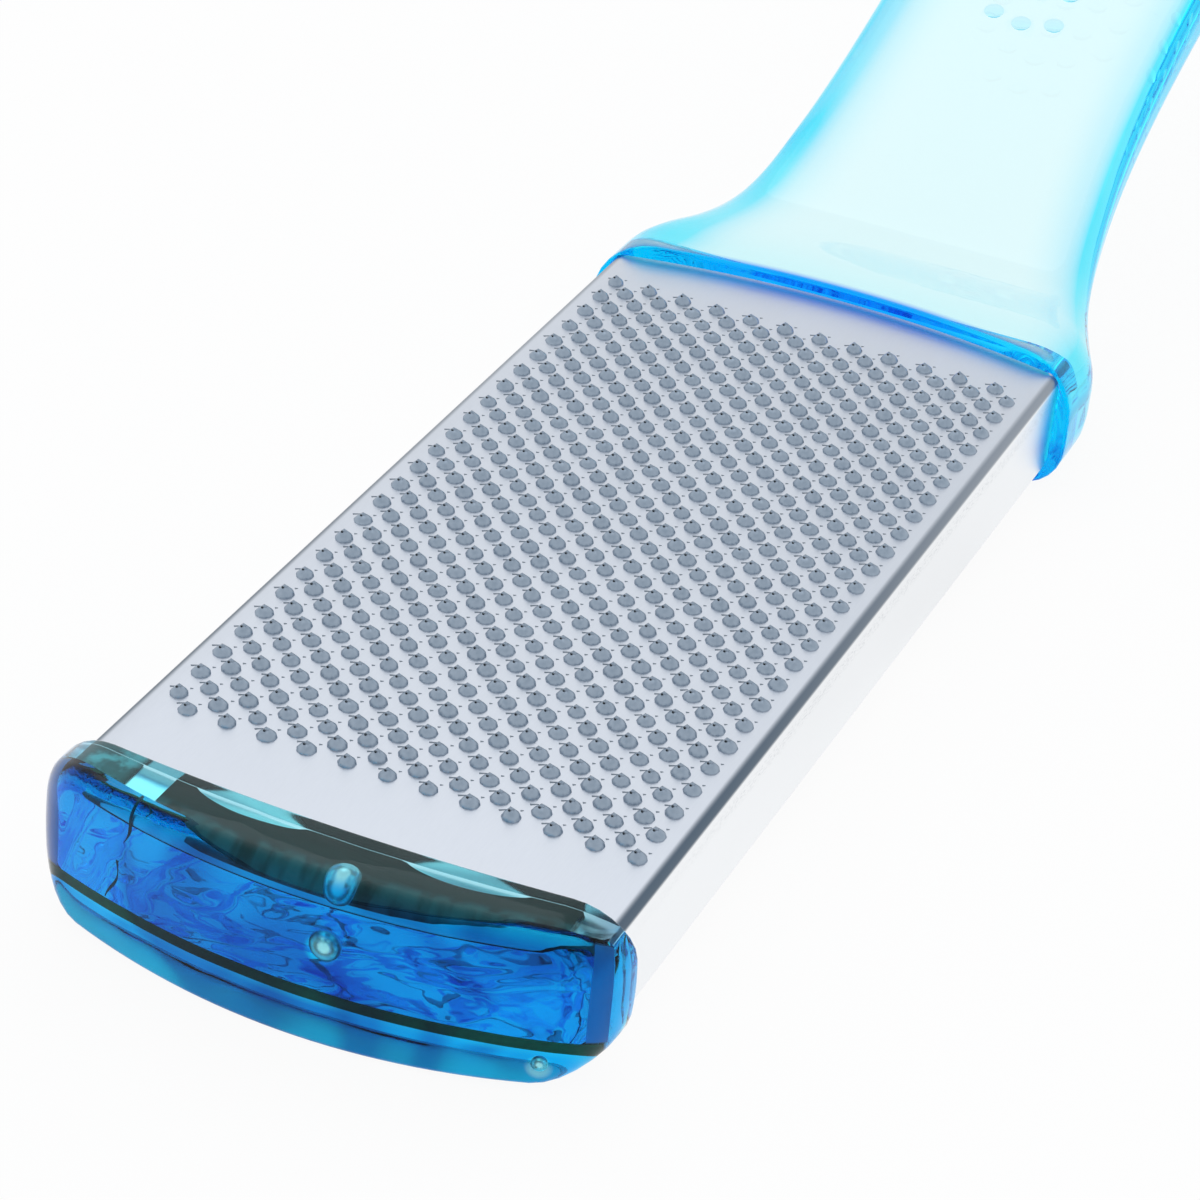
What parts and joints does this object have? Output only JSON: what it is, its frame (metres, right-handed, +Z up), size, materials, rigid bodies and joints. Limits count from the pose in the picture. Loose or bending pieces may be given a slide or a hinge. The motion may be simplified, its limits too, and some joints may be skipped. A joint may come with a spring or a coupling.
{
  "type": "foot file",
  "caption": "Flat two-sided foot file: clear blue plastic handle rising from a collar, a punched steel rasp plate over a fine file plate, and a rounded clear blue nose.",
  "frame": {"origin": "centre of the bounding box in plan, on the surface that the file lies on", "axes": "+X along the file towards the nose, +Y to the right of the coarse side, +Z up from the coarse side"},
  "size_m": [0.21, 0.0448, 0.0356],
  "materials": {
    "handle_plastic": "clear pale blue moulded plastic, polished",
    "nose_plastic": "clear deep blue moulded plastic, polished",
    "rasp_steel": "satin stainless sheet with punched teeth",
    "file_steel": "satin stainless sheet with fine file cuts"
  },
  "bodies": {
    "root": {"handle": "handle_plastic", "nose_core": "nose_plastic", "coarse_plate": "rasp_steel", "fine_plate": "file_steel"}
  },
  "joints": []
}
